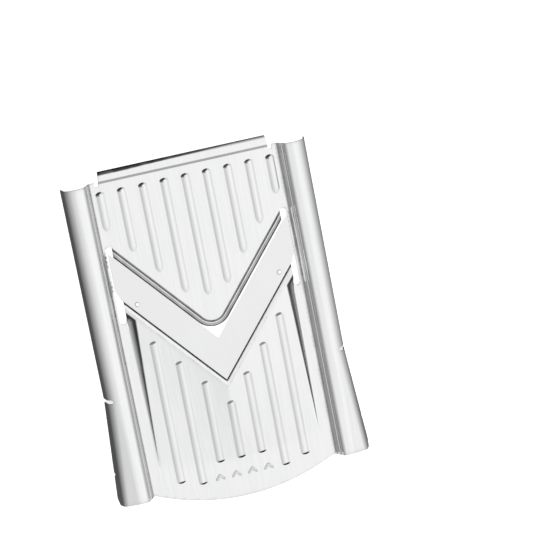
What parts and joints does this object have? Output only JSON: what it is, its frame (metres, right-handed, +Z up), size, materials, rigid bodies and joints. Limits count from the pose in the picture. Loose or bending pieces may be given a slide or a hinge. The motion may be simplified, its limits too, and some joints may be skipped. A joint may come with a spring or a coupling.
{
  "type": "v-slicer plate",
  "caption": "Stainless V-slicer plate of a vegetable dicer: ribbed run-up and run-off decks, a V-blade between them, two raised side rails and a hook lip.",
  "frame": {"origin": "centre of the plate in plan, on the surface that the rails' skirts stand on", "axes": "+X to the right across the plate, +Y along the rails towards the hook lip, +Z up out of the decks"},
  "size_m": [0.1562, 0.213, 0.0109],
  "materials": {
    "pressed_sheet": "polished stainless sheet with faint lengthwise grain",
    "ground_blade": "satin-ground blade steel",
    "rivet": "bright stainless rivet"
  },
  "bodies": {
    "root": {"run_up_deck": "pressed_sheet", "hook_lip": "pressed_sheet", "left_rail": "pressed_sheet", "right_rail": "pressed_sheet", "run_off_deck": "pressed_sheet", "v_blade": "ground_blade", "left_blade_rivet": "rivet", "right_blade_rivet": "rivet"}
  },
  "joints": []
}
